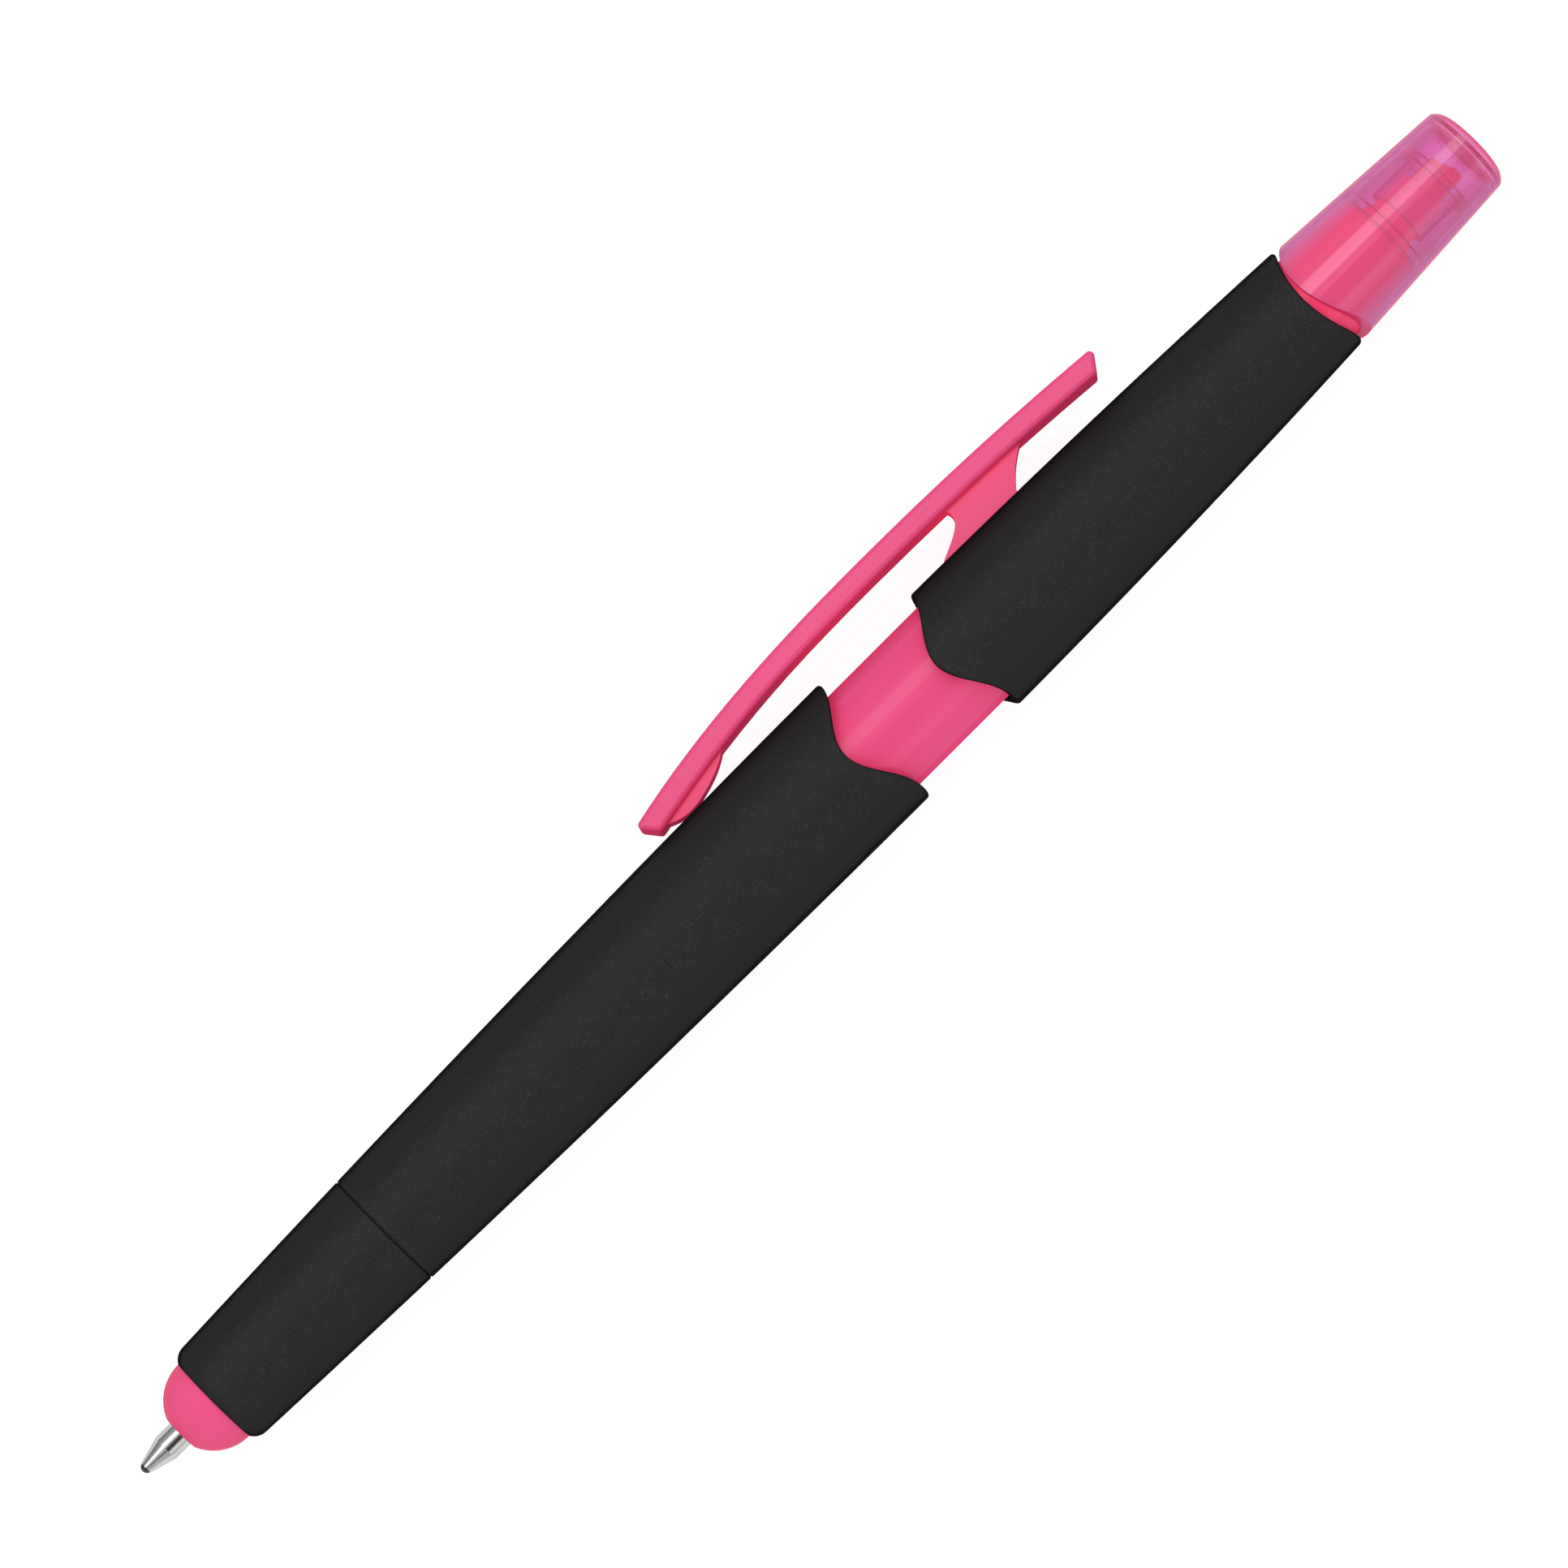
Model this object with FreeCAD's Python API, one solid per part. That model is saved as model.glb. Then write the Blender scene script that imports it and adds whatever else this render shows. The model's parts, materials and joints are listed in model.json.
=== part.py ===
"""Twist-action writing set in one barrel: a ballpoint that comes out through a rubber
stylus dome at the nose, and a highlighter under a clear cap at the back.

Millimetres. The pen's axis is +X, from the tip of the ball (x = 0) to the flat end of the cap.
The clip stands out along +Y, and +Z is up when the pen lies on its side.
Everything is modelled with the ballpoint out. Angles about the axis run from +Y towards +Z.
"""

import FreeCAD, Part

import math
import os

from FreeCAD import Vector

# ---------------------------------------------------------------- driving dimensions
PEN_LENGTH = 148.0
# Outside of the black shells: each curve is a parabola through three (x, radius) points.
LOWER_CURVE = [(9.1, 4.66), (45.5, 5.78), (82.0, 6.21)]
UPPER_CURVE = [(86.5, 6.07), (109.0, 5.79), (131.6, 4.96)]
NOSE_FRONT = 7.9
NOSE_SEAM = 26.7
WAVE_DEPTH = 2.8
WAVE_HALF_WIDTH = 6.1
LOWER_WAVE_X = 78.35
BARREL_GAP = 10.0
UPPER_WAVE_X = LOWER_WAVE_X + BARREL_GAP
SLEEVE_END = 131.1
SCOOP_X = 129.2
SCOOP_R = 7.8
EDGE_ROUND = 0.3
END_EDGE_R = 4.86
SEAM_BEVEL = 0.12
RUN = 0.05
PRESS = 0.02

# Writing end
BALL_R = 0.5
BALL_PLAY = 0.02
SOCKET_LIP_X = 0.42
INK_CHANNEL_R = 0.22
POINT_R = 1.15
POINT_CONE_END = 2.6
REFILL_R = 1.175
REFILL_BORE = 0.9
REFILL_START = 6.2
REFILL_LENGTH = 67.0
DOME_R = 3.95
DOME_X = 7.85
DOME_SKIRT_END = 12.9
DOME_HOLE_R = 1.25
DOME_WALL = 0.95
DOME_GROOVE = (10.45, 11.55)
TIP_GUIDE_START, TIP_GUIDE_END = 8.6, 20.4
NOSE_BORE = 4.0
NOSE_INNER_R = 3.5
NOSE_SHOULDER = 14.0
SPIGOT_R = 4.3
SPIGOT_LENGTH = 5.8

# Twist mechanism
TRAVEL = 5.5
HALF_TURN = 180.0
FLANGE_X = 57.1
FLANGE_LENGTH = 1.5
GUIDE_IN, GUIDE_OUT, GUIDE_END = 2.55, 3.3, 81.6
CAM_IN, CAM_OUT = 3.35, 4.1
CAM_START, CAM_END = 59.0, 80.2
CAM_KEY_LENGTH = 6.0
CAM_KEY_R = 4.45
PEG_X = 69.5
PEG_R = 0.6
PEG_SLOT_HALF = 0.65
FOLLOWER_R = 2.5
FOLLOWER_START, FOLLOWER_END = 62.5, 73.5
SPRING_WIRE_R = 0.14
SPRING_R = 1.85
SPRING_TURNS = 6

# Centre tube
TUBE_R = 5.0
TUBE_BORE = 4.15
TUBE_START, TUBE_END = 58.8, 112.0
RING_X = 61.5
RING_SECTION_R = 0.2

# Clip
CLIP_HALF_WIDTH_TAIL = 2.1
CLIP_HALF_WIDTH_PAD = 1.9
CLIP_THICK_PAD, CLIP_THICK_TAIL = 2.05, 1.85
CLIP_THICK_X = 80.0
CLIP_TOP = [(62.8, 8.25), (70.0, 9.56), (80.0, 10.50), (90.5, 10.72), (103.0, 10.44), (115.3, 9.62)]
CLIP_END_SLANT = 1.3
CLIP_ROUND = 0.4
PAD_TOUCH = 6.16
PAD_HALF_THICKNESS = 1.1
POST_HALF_THICKNESS = 1.0
POST_FRONT, POST_BACK = 94.9, 103.0
CLIP_PLAY = 0.2
WINDOW_BACK = 103.45
FOOT_FRONT, FOOT_BACK = 95.5, 102.5
FOOT_BOTTOM = 3.25
HOOK_HEIGHT = 0.35
HOOK_REACH = 0.9

# Highlighter and cap
HOLDER_BACK = 106.0
HOLDER_COLLAR_R = 4.4
HOLDER_COLLAR_END = 129.0
HOLDER_SHOULDER = 137.6
NIB_COLLAR_R = 2.1
NIB_COLLAR_START = 138.7
NIB_COLLAR_END = 142.5
NIB_END = 145.7
NIB_R = 1.5
NIB_TAIL_R = 1.2
NIB_TAIL_X = 129.8
CHAMBER_R = 3.3
CHAMBER_END = 134.0
RESERVOIR_R = 3.15
FILM_R = 3.25
RESERVOIR_START = 108.6
PLUG_START = 105.0
CAP_RIM_X = 129.65
CAP_RIM_R = 6.3
CAP_TURN = -15.0
STOP_RING_X = 137.7
STOP_RING_WIDTH = 0.6
CAP_WALL = 0.66
CAP_FLOOR = 146.9
CAP_BASE_X, CAP_BASE_R = 131.7, 4.87
CAP_TOP_X, CAP_TOP_R = 147.3, 3.95
CAP_FLAT_R = 2.8
GATE_R, GATE_DEPTH = 0.45, 0.15
SEAL_START = 139.6
SEAL_FLANGE = (143.6, 144.2)

AXIS = Vector(1, 0, 0)
ORIGIN = Vector(0, 0, 0)


# ---------------------------------------------------------------- shape helpers
def turned(outline):
    """Solid turned about the pen's axis from a closed outline of (x, radius) points."""
    points = [Vector(x, r, 0) for x, r in outline]
    return Part.Face(Part.makePolygon(points + points[:1])).revolve(ORIGIN, AXIS, 360)


def turned_edges(edges):
    """The same, from edges that may be arcs."""
    return Part.Face(Part.Wire(Part.__sortEdges__(edges))).revolve(ORIGIN, AXIS, 360)


def line(a, b):
    """Straight edge between two (x, radius) points."""
    return Part.LineSegment(Vector(*a, 0), Vector(*b, 0)).toShape()


def arc(a, b, c):
    """Arc through three (x, radius) points."""
    return Part.Arc(Vector(*a, 0), Vector(*b, 0), Vector(*c, 0)).toShape()


def curve(points):
    """Smooth curve through (x, y) points."""
    spline = Part.BSplineCurve()
    spline.interpolate([Vector(x, y, 0) for x, y in points])
    return spline.toShape()


def rod(x0, x1, radius):
    """Cylinder on the pen's axis."""
    return Part.makeCylinder(radius, x1 - x0, Vector(x0, 0, 0), AXIS)


def tube(x0, x1, inner, outer):
    """Plain tube on the pen's axis."""
    return turned([(x0, inner), (x1, inner), (x1, outer), (x0, outer)])


def cone_tube(x0, x1, inner0, outer0, inner1, outer1):
    """Tube that tapers from one end to the other."""
    return turned([(x0, inner0), (x1, inner1), (x1, outer1), (x0, outer0)])


def block(x0, x1, y0, y1, half_z):
    """Box, centred on z = 0."""
    return Part.makeBox(x1 - x0, y1 - y0, 2 * half_z, Vector(x0, y0, -half_z))


def slab(edges, half_z):
    """Solid with the flat outline given by edges in the XY plane, centred on z = 0."""
    face = Part.Face(Part.Wire(Part.__sortEdges__(edges)))
    face.translate(Vector(0, 0, -half_z))
    return face.extrude(Vector(0, 0, 2 * half_z))


def on_axis(shape, x):
    """Turns a shape made along +Z, starting at +X, to run along the pen's axis from x, starting at +Y."""
    shape.Placement = FreeCAD.Placement(Vector(x, 0, 0), FreeCAD.Rotation(Vector(1, 1, 1), 120))
    return shape


def rounded(shape, radius, pick):
    """Rounds the edges of a shape that pick() accepts."""
    edges = [e for e in shape.Edges if pick(e)]
    return shape.makeFillet(radius, edges) if edges else shape


def edge_passes(edge, test):
    """True if every sampled point of an edge passes test."""
    first, last = edge.ParameterRange
    return all(test(edge.valueAt(first + (last - first) * k / 6)) for k in range(7))


def radius_of(point):
    """Distance from the pen's axis."""
    return math.hypot(point.y, point.z)


# ---------------------------------------------------------------- the outer shells
def shell_radius(stations, x):
    """Outside radius of a black shell at x."""
    total = 0.0
    for x_own, radius in stations:
        others = [x_other for x_other, _ in stations if x_other != x_own]
        total += radius * math.prod((x - x_other) / (x_own - x_other) for x_other in others)
    return total


def shell_line(stations, x0, x1):
    """Edge along the outside of a black shell from x0 to x1."""
    middle = (x0 + x1) / 2
    r0, r1 = shell_radius(stations, x0), shell_radius(stations, x1)
    pole = 2 * shell_radius(stations, middle) - (r0 + r1) / 2
    bow = Part.BezierCurve()
    bow.setPoles([Vector(x0, r0, 0), Vector(middle, pole, 0), Vector(x1, r1, 0)])
    return bow.toShape()


def shell_body(stations, x0, x1):
    """Solid inside the outside curve of a black shell, from x0 to x1."""
    top0, top1 = (x0, shell_radius(stations, x0)), (x1, shell_radius(stations, x1))
    return turned_edges(
        [
            shell_line(stations, x0, x1),
            line(top1, (x1, 0)),
            line((x1, 0), (x0, 0)),
            line((x0, 0), top0),
        ]
    )


def wave(valley, y):
    """Axial place of a wavy shell edge at height y across the pen."""
    return valley + WAVE_DEPTH * (1 - math.cos(math.pi * y / WAVE_HALF_WIDTH)) / 2


def behind_wave(valley):
    """Everything on the cap side of a wavy edge. The wave is cut straight through from side to side."""
    reach, steps = 7.0, 16
    heights = [-reach + 2 * reach * k / steps for k in range(steps + 1)]
    points = [(wave(valley, y), y) for y in heights]
    back = valley + PEN_LENGTH / 2
    return slab(
        [
            curve(points),
            line(points[-1], (back, reach)),
            line((back, reach), (back, -reach)),
            line((back, -reach), points[0]),
        ],
        reach + 1,
    )


def end_edge(edge, low, high):
    """True for a long edge of a black shell's end that lies between two axial places."""
    return edge.Length > 1 and edge_passes(edge, lambda p: low < p.x < high and radius_of(p) > END_EDGE_R)


def nose_cone():
    """Front grip shell: rounded front lip, seat for the dome and its guide, spigot at the back."""
    lip_end = LOWER_CURVE[0]
    bevel_x = NOSE_SEAM - SEAM_BEVEL
    bevel_r = shell_radius(LOWER_CURVE, bevel_x)
    spigot_end = NOSE_SEAM + SPIGOT_LENGTH
    corners = [
        (bevel_x, bevel_r),
        (NOSE_SEAM, bevel_r - SEAM_BEVEL),
        (NOSE_SEAM, SPIGOT_R),
        (spigot_end - 0.3, SPIGOT_R),
        (spigot_end, SPIGOT_R - 0.3),
        (spigot_end, NOSE_INNER_R),
        (NOSE_SHOULDER, NOSE_INNER_R),
        (NOSE_SHOULDER, NOSE_BORE),
        (NOSE_FRONT, NOSE_BORE),
    ]
    edges = [line(a, b) for a, b in zip(corners, corners[1:])]
    edges.append(arc(corners[-1], (NOSE_FRONT + 0.32, 4.36), lip_end))
    edges.append(shell_line(LOWER_CURVE, lip_end[0], bevel_x))
    return turned_edges(edges)


def lower_barrel():
    """Lower black shell: socket for the nose in front, wavy edge and bearing bore at the back."""
    bevel_x = NOSE_SEAM + SEAM_BEVEL
    bevel_r = shell_radius(LOWER_CURVE, bevel_x)
    bevel = cone_tube(NOSE_SEAM, bevel_x, 1, bevel_r - SEAM_BEVEL, 1, bevel_r)
    solid = shell_body(LOWER_CURVE, bevel_x, LOWER_CURVE[-1][0]).fuse(bevel)
    solid = solid.cut(behind_wave(LOWER_WAVE_X))
    solid = solid.cut(rod(NOSE_SEAM - 1, FLANGE_X + 1, SPIGOT_R + RUN))
    solid = solid.cut(rod(FLANGE_X, 100, TUBE_R + RUN))
    solid = rounded(solid, EDGE_ROUND, lambda e: end_edge(e, LOWER_WAVE_X - 0.5, LOWER_CURVE[-1][0] + 1))
    ribs = flange_keys(0.5).cut(rod(0, 100, TUBE_R - 0.45)).common(rod(0, 100, TUBE_R + 0.3))
    return solid.fuse(ribs).removeSplitter()


def flange_keys(half_width):
    """Two bars across the bore that key the mechanism's flange to the lower barrel."""
    return block(FLANGE_X, FLANGE_X + FLANGE_LENGTH, -TUBE_R - 1, TUBE_R + 1, half_width)


def upper_sleeve():
    """Upper black shell over the centre tube, with a window for the clip's post."""
    solid = shell_body(UPPER_CURVE, UPPER_CURVE[0][0], SLEEVE_END)
    solid = solid.common(behind_wave(UPPER_WAVE_X))
    solid = solid.cut(rod(80, TUBE_END, TUBE_R + RUN))
    solid = solid.cut(rod(TUBE_END - 1, 140, HOLDER_COLLAR_R + RUN))
    solid = solid.cut(Part.makeCylinder(SCOOP_R, 20, Vector(SCOOP_X + SCOOP_R, 0, -10)))
    for low, high in ((UPPER_WAVE_X, UPPER_WAVE_X + WAVE_DEPTH), (SCOOP_X, SLEEVE_END)):
        solid = rounded(solid, EDGE_ROUND, lambda e: end_edge(e, low - 0.5, high + 0.5))
    window = block(POST_FRONT - CLIP_PLAY, WINDOW_BACK, 3, 9, POST_HALF_THICKNESS + 0.1)
    return solid.cut(window).removeSplitter()


# ---------------------------------------------------------------- nose insides
def stylus_dome():
    """Soft rubber dome with a hole for the ballpoint and an inner groove that grips the guide."""
    hole_x = DOME_X - math.sqrt(DOME_R**2 - DOME_HOLE_R**2)
    inner_r = DOME_R - DOME_WALL
    inner_x = DOME_X - math.sqrt(inner_r**2 - DOME_HOLE_R**2)
    half = math.sqrt(0.5)
    skin = turned_edges(
        [
            arc((hole_x, DOME_HOLE_R), (DOME_X - DOME_R * half, DOME_R * half), (DOME_X, DOME_R)),
            line((DOME_X, DOME_R), (DOME_SKIRT_END, DOME_R)),
            line((DOME_SKIRT_END, DOME_R), (DOME_SKIRT_END, inner_r)),
            line((DOME_SKIRT_END, inner_r), (DOME_X, inner_r)),
            arc((DOME_X, inner_r), (DOME_X - inner_r * half, inner_r * half), (inner_x, DOME_HOLE_R)),
            line((inner_x, DOME_HOLE_R), (hole_x, DOME_HOLE_R)),
        ]
    )
    return skin.cut(rod(*DOME_GROOVE, inner_r + 0.3)).removeSplitter()


def tip_guide():
    """Hard insert behind the dome: it carries the dome and guides the refill."""
    head_r = DOME_R - DOME_WALL - RUN
    bead_front, bead_back = DOME_GROOVE[0] + RUN, DOME_GROOVE[1] - RUN
    flange_x = DOME_SKIRT_END + 0.1
    shoulder_x = NOSE_SHOULDER - RUN
    return turned(
        [
            (TIP_GUIDE_START, REFILL_R + RUN),
            (TIP_GUIDE_START, head_r - 0.5),
            (TIP_GUIDE_START + 0.5, head_r),
            (bead_front, head_r),
            (bead_front + 0.2, head_r + 0.25),
            (bead_back - 0.2, head_r + 0.25),
            (bead_back, head_r),
            (flange_x, head_r),
            (flange_x, NOSE_BORE - PRESS),
            (shoulder_x, NOSE_BORE - PRESS),
            (shoulder_x, NOSE_INNER_R - PRESS),
            (TIP_GUIDE_END - 0.4, NOSE_INNER_R - PRESS),
            (TIP_GUIDE_END, NOSE_INNER_R - 0.4),
            (TIP_GUIDE_END, REFILL_R + 0.6),
            (TIP_GUIDE_END - 0.8, REFILL_R + RUN),
        ]
    )


# ---------------------------------------------------------------- refill
def writing_ball():
    """The rolling ball."""
    return Part.makeSphere(BALL_R, Vector(BALL_R, 0, 0))


def refill_point():
    """Metal point: cone, shank, pressed stem, ink channel and ball socket."""
    stem_end = REFILL_START + 2.5
    solid = turned(
        [
            (SOCKET_LIP_X, 0.0),
            (SOCKET_LIP_X, BALL_R + 0.03),
            (POINT_CONE_END, POINT_R),
            (REFILL_START, POINT_R),
            (REFILL_START, REFILL_BORE),
            (stem_end, REFILL_BORE),
            (stem_end, 0.0),
        ]
    )
    socket = Part.makeSphere(BALL_R + BALL_PLAY, Vector(BALL_R, 0, 0))
    return solid.cut(socket).cut(rod(BALL_R, stem_end + 1, INK_CHANNEL_R)).removeSplitter()


def refill_tube():
    """Ink tube, a standard mini refill with the point pressed into its front end."""
    return tube(REFILL_START, REFILL_LENGTH, REFILL_BORE, REFILL_R)


# ---------------------------------------------------------------- twist mechanism
def radial_pin(x, radius, start, end):
    """Round pin that stands out from the axis towards +Y."""
    return Part.makeCylinder(radius, end - start, Vector(x, start, 0), Vector(0, 1, 0))


def guide_tube():
    """Fixed guide: flange keyed to the lower barrel, and a tube with a straight slot for the peg."""
    flange_end = FLANGE_X + FLANGE_LENGTH
    solid = turned(
        [
            (FLANGE_X, REFILL_R + 0.2),
            (FLANGE_X + 1.0, REFILL_R + 0.2),
            (FLANGE_X + 1.0, GUIDE_IN),
            (GUIDE_END, GUIDE_IN),
            (GUIDE_END, GUIDE_OUT - 0.15),
            (GUIDE_END - 0.15, GUIDE_OUT),
            (CAM_END + 1.05, GUIDE_OUT),
            (CAM_END + 1.05, GUIDE_OUT - 0.3),
            (CAM_END + 0.25, GUIDE_OUT - 0.3),
            (CAM_END + 0.25, GUIDE_OUT),
            (flange_end, GUIDE_OUT),
            (flange_end, TUBE_R - 0.03),
            (FLANGE_X, TUBE_R - 0.03),
        ]
    )
    solid = solid.cut(flange_keys(0.55).cut(rod(0, 100, TUBE_R - 0.5)))
    slot = block(PEG_X, PEG_X + TRAVEL, 1, 4, PEG_SLOT_HALF)
    for x in (PEG_X, PEG_X + TRAVEL):
        slot = slot.fuse(radial_pin(x, PEG_SLOT_HALF, 1, 4))
    return solid.cut(slot).removeSplitter()


def cam_tube():
    """Turning cam: half a turn of its helical slot moves the peg through the whole travel."""
    solid = tube(CAM_START, CAM_END, CAM_IN, CAM_OUT)
    axial_half = PEG_SLOT_HALF / math.cos(math.atan(2 * TRAVEL / (math.pi * (CAM_IN + CAM_OUT))))
    middle = (CAM_IN + CAM_OUT) / 2
    helix = Part.makeHelix(2 * TRAVEL, TRAVEL, middle, 0, True)
    corners = [(CAM_IN - 0.3, -axial_half), (CAM_OUT + 0.3, -axial_half)]
    corners += [(CAM_OUT + 0.3, axial_half), (CAM_IN - 0.3, axial_half)]
    profile = Part.makePolygon([Vector(x, 0, z) for x, z in corners + corners[:1]])
    slot = on_axis(Part.Wire(helix.Edges).makePipeShell([profile], True, True), PEG_X)
    front_end = radial_pin(PEG_X, PEG_SLOT_HALF, 3, 5)
    back_end = radial_pin(PEG_X + TRAVEL, PEG_SLOT_HALF, 3, 5)
    back_end.rotate(ORIGIN, AXIS, -HALF_TURN)
    key = block(CAM_START, CAM_START + CAM_KEY_LENGTH, -CAM_KEY_R, 0.1 - CAM_OUT, 0.6)
    return solid.fuse(key).cut(slot.fuse([front_end, back_end])).removeSplitter()


def follower():
    """Sliding carriage that grips the back of the refill, with the peg that the cam drives."""
    solid = turned(
        [
            (FOLLOWER_START, REFILL_R + PRESS / 2),
            (REFILL_LENGTH + PRESS, REFILL_R + PRESS / 2),
            (REFILL_LENGTH + PRESS, 0.0),
            (FOLLOWER_END, 0.0),
            (FOLLOWER_END, FOLLOWER_R - 0.3),
            (FOLLOWER_END - 0.3, FOLLOWER_R),
            (FOLLOWER_START, FOLLOWER_R),
        ]
    )
    peg = radial_pin(PEG_X, PEG_R, 1.0, CAM_OUT - 0.1)
    vent = rod(REFILL_LENGTH, FOLLOWER_END + 1, 0.5)
    return solid.fuse(peg).cut(vent).removeSplitter()


def return_spring():
    """Light spring between the guide's front wall and the follower, shown pressed."""
    seat = FLANGE_X + 1.0 + SPRING_WIRE_R + 0.02
    length = FOLLOWER_START - SPRING_WIRE_R - 0.02 - seat
    helix = Part.makeHelix(length / SPRING_TURNS, length, SPRING_R)
    wire_section = Part.Wire(Part.makeCircle(SPRING_WIRE_R, Vector(SPRING_R, 0, 0), Vector(0, 1, 0)))
    coil = Part.Wire(helix.Edges).makePipeShell([wire_section], True, True)
    return on_axis(coil, seat)


def retaining_ring():
    """Split ring in the guide's groove that keeps the cam on the guide."""
    ring = tube(CAM_END + 0.3, CAM_END + 1.0, GUIDE_OUT - 0.27, CAM_OUT - 0.2)
    return ring.cut(block(CAM_END, CAM_END + 2, -6, 0, 0.9))


# ---------------------------------------------------------------- centre tube
def centre_tube():
    """Coloured tube between the shells. It turns in the lower barrel and carries the upper half."""
    solid = tube(TUBE_START, TUBE_END, TUBE_BORE, TUBE_R)
    solid = solid.cut(tube(RING_X - 0.26, RING_X + 0.26, TUBE_R - 0.4, TUBE_R + 1))
    key_end = CAM_START + CAM_KEY_LENGTH + 0.1
    key_slot = block(TUBE_START - 1, key_end, -CAM_KEY_R - RUN, -TUBE_BORE + 0.5, 0.65)
    window = block(FOOT_FRONT - CLIP_PLAY, FOOT_BACK + CLIP_PLAY, 2, 8, POST_HALF_THICKNESS + 0.05)
    return solid.cut([key_slot, window]).removeSplitter()


def friction_ring():
    """Rubber ring in a groove of the centre tube that steadies the twist."""
    return Part.makeTorus(TUBE_R - 0.4 + RING_SECTION_R + 0.01, RING_SECTION_R, Vector(RING_X, 0, 0), AXIS)


# ---------------------------------------------------------------- clip
def clip_thickness(x):
    """Thickness of the arm at x, greatest at the pad."""
    share = min(1, (x - CLIP_TOP[0][0]) / (CLIP_THICK_X - CLIP_TOP[0][0]))
    return CLIP_THICK_PAD + (CLIP_THICK_TAIL - CLIP_THICK_PAD) * share


def clip_arm():
    """Bowed arm, slanted at both ends and a little narrower towards the pad."""
    (x0, top0), (x1, top1) = CLIP_TOP[0], CLIP_TOP[-1]
    under = [(x0 + CLIP_END_SLANT, top0 - CLIP_THICK_PAD + 0.35)]
    under += [(x, y - clip_thickness(x)) for x, y in CLIP_TOP[1:-1]]
    under += [(x1 - CLIP_END_SLANT, top1 - CLIP_THICK_TAIL + 0.1)]
    side = [curve(CLIP_TOP), line(CLIP_TOP[-1], under[-1]), curve(under), line(under[0], CLIP_TOP[0])]
    arm = slab(side, CLIP_HALF_WIDTH_TAIL)
    corners = [(x0, -CLIP_HALF_WIDTH_PAD), (x1, -CLIP_HALF_WIDTH_TAIL)]
    corners += [(x1, CLIP_HALF_WIDTH_TAIL), (x0, CLIP_HALF_WIDTH_PAD)]
    plan = Part.makePolygon([Vector(x, 0, z) for x, z in corners + corners[:1]])
    arm = arm.common(Part.Face(plan).extrude(Vector(0, 4 * TUBE_R, 0)))
    return arm.makeFillet(CLIP_ROUND, arm.Edges)


def clip_pad():
    """Rib under the arm's free end; its rounded foot rests on the lower barrel."""
    foot = [(64.5, 7.0), (65.6, 6.42), (67.1, PAD_TOUCH), (68.6, 6.4), (70.6, 7.05), (72.6, 8.3)]
    return slab([curve(foot), line(foot[-1], foot[0])], PAD_HALF_THICKNESS)


def clip_post():
    """Web under the arm, waisted at the back and hooked at the front, down to the window in the sleeve."""
    front = [(97.2, 9.2), (97.9, 8.75), (98.0, 8.1), (97.2, 7.1), (94.9, 5.95)]
    back = [(106.6, 8.8), (104.3, 7.35), (103.0, 5.95)]
    shoulder = TUBE_R + 0.35
    outline = [
        curve(front),
        line(front[-1], (POST_FRONT, shoulder)),
        line((POST_FRONT, shoulder), (POST_BACK, shoulder)),
        line((POST_BACK, shoulder), back[-1]),
        curve(back),
        line(back[0], front[0]),
    ]
    return slab(outline, POST_HALF_THICKNESS)


def clip():
    """The whole clip: arm, pad, post, and the hooked foot that snaps into the centre tube."""
    foot = block(FOOT_FRONT, FOOT_BACK, FOOT_BOTTOM, TUBE_R + 0.5, POST_HALF_THICKNESS - 0.05)
    hooks = block(
        FOOT_FRONT - HOOK_REACH,
        FOOT_BACK + HOOK_REACH,
        FOOT_BOTTOM,
        FOOT_BOTTOM + HOOK_HEIGHT,
        POST_HALF_THICKNESS - 0.05,
    )
    return clip_arm().fuse([clip_pad(), clip_post(), foot, hooks]).removeSplitter()


# ---------------------------------------------------------------- highlighter
def cap_radius(x):
    """Outside radius of the cap, a straight taper."""
    share = (x - CAP_BASE_X) / (CAP_TOP_X - CAP_BASE_X)
    return CAP_BASE_R + (CAP_TOP_R - CAP_BASE_R) * share


def highlighter_holder():
    """Front section of the highlighter: ink chamber, seat for the cap and collar for the nib."""
    seat_r = cap_radius(CAP_BASE_X) - CAP_WALL - RUN
    end_r = cap_radius(HOLDER_SHOULDER) - CAP_WALL - RUN
    bore_step = NIB_COLLAR_START + 0.8
    return turned(
        [
            (HOLDER_BACK, CHAMBER_R),
            (HOLDER_BACK, TUBE_BORE - PRESS),
            (TUBE_END + 0.02, TUBE_BORE - PRESS),
            (TUBE_END + 0.02, HOLDER_COLLAR_R),
            (HOLDER_COLLAR_END, HOLDER_COLLAR_R),
            (HOLDER_COLLAR_END, seat_r),
            (CAP_BASE_X, seat_r),
            (HOLDER_SHOULDER - 0.3, end_r + 0.02),
            (HOLDER_SHOULDER, end_r - 0.3),
            (HOLDER_SHOULDER, NIB_COLLAR_R + 0.3),
            (NIB_COLLAR_START, NIB_COLLAR_R + 0.3),
            (NIB_COLLAR_START + 0.2, NIB_COLLAR_R),
            (NIB_COLLAR_END - 0.3, NIB_COLLAR_R),
            (NIB_COLLAR_END, NIB_COLLAR_R - 0.3),
            (NIB_COLLAR_END, NIB_R + PRESS),
            (bore_step, NIB_R + PRESS),
            (bore_step, NIB_TAIL_R + 0.1),
            (CHAMBER_END, NIB_TAIL_R + 0.1),
            (CHAMBER_END, CHAMBER_R),
        ]
    )


def ink_reservoir():
    """Fibre rod that holds the highlighter ink, with a hole for the nib's tail."""
    solid = rod(RESERVOIR_START, CHAMBER_END - 0.1, RESERVOIR_R)
    return solid.cut(rod(NIB_TAIL_X - 0.2, CHAMBER_END, NIB_TAIL_R + 0.03))


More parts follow.
